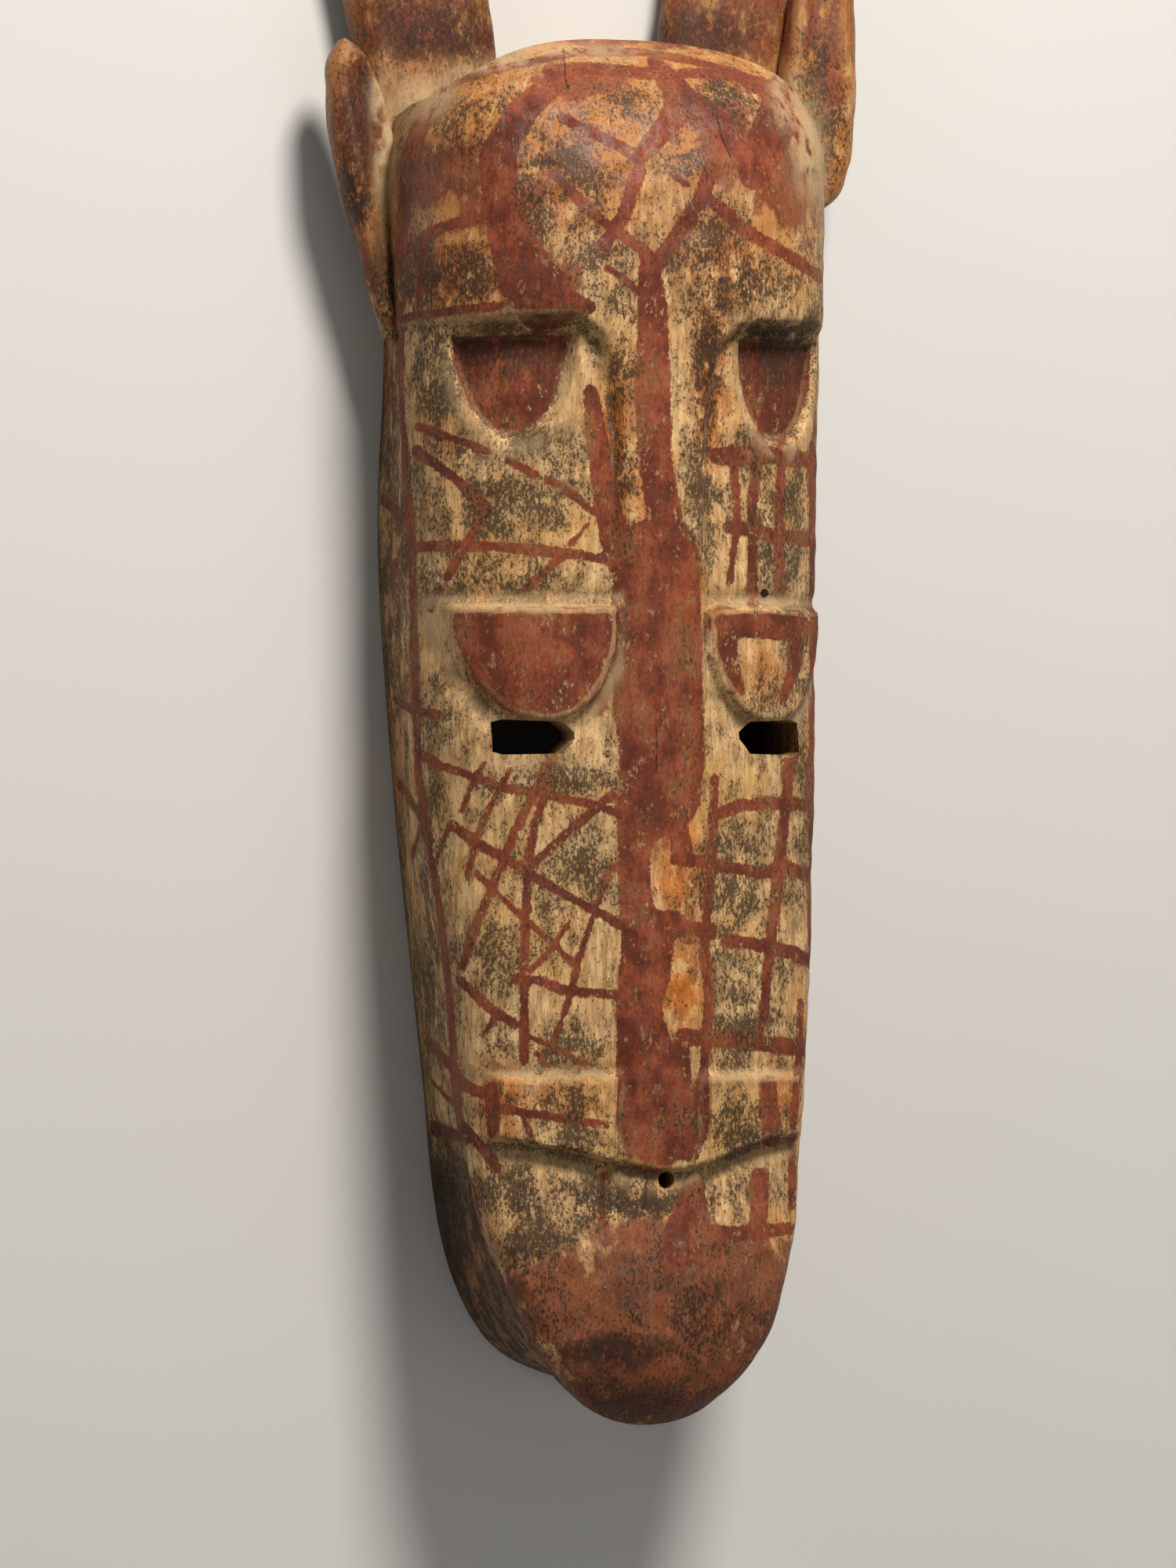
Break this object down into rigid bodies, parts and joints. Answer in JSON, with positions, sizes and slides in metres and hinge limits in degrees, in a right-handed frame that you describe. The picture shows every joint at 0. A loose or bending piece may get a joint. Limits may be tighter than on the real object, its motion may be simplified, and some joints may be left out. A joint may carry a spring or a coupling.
{
  "type": "carved wooden face mask",
  "caption": "Long carved wooden face mask with broad horns, leaf ears, half-moon eyes and see-through slits, hollow behind for the wearer's face.",
  "frame": {"origin": "middle of the bounding box on the flat back rim, on which the mask lies face up", "axes": "+X to the viewer's right of a face seen upright, +Y from the chin to the horns, +Z out of the face"},
  "size_m": [0.2162, 0.668, 0.109],
  "materials": {
    "wood": "matte, dry, worn brown-red paint over pale sooty wood"
  },
  "bodies": {
    "root": {"carved_mask": "wood"}
  },
  "joints": []
}
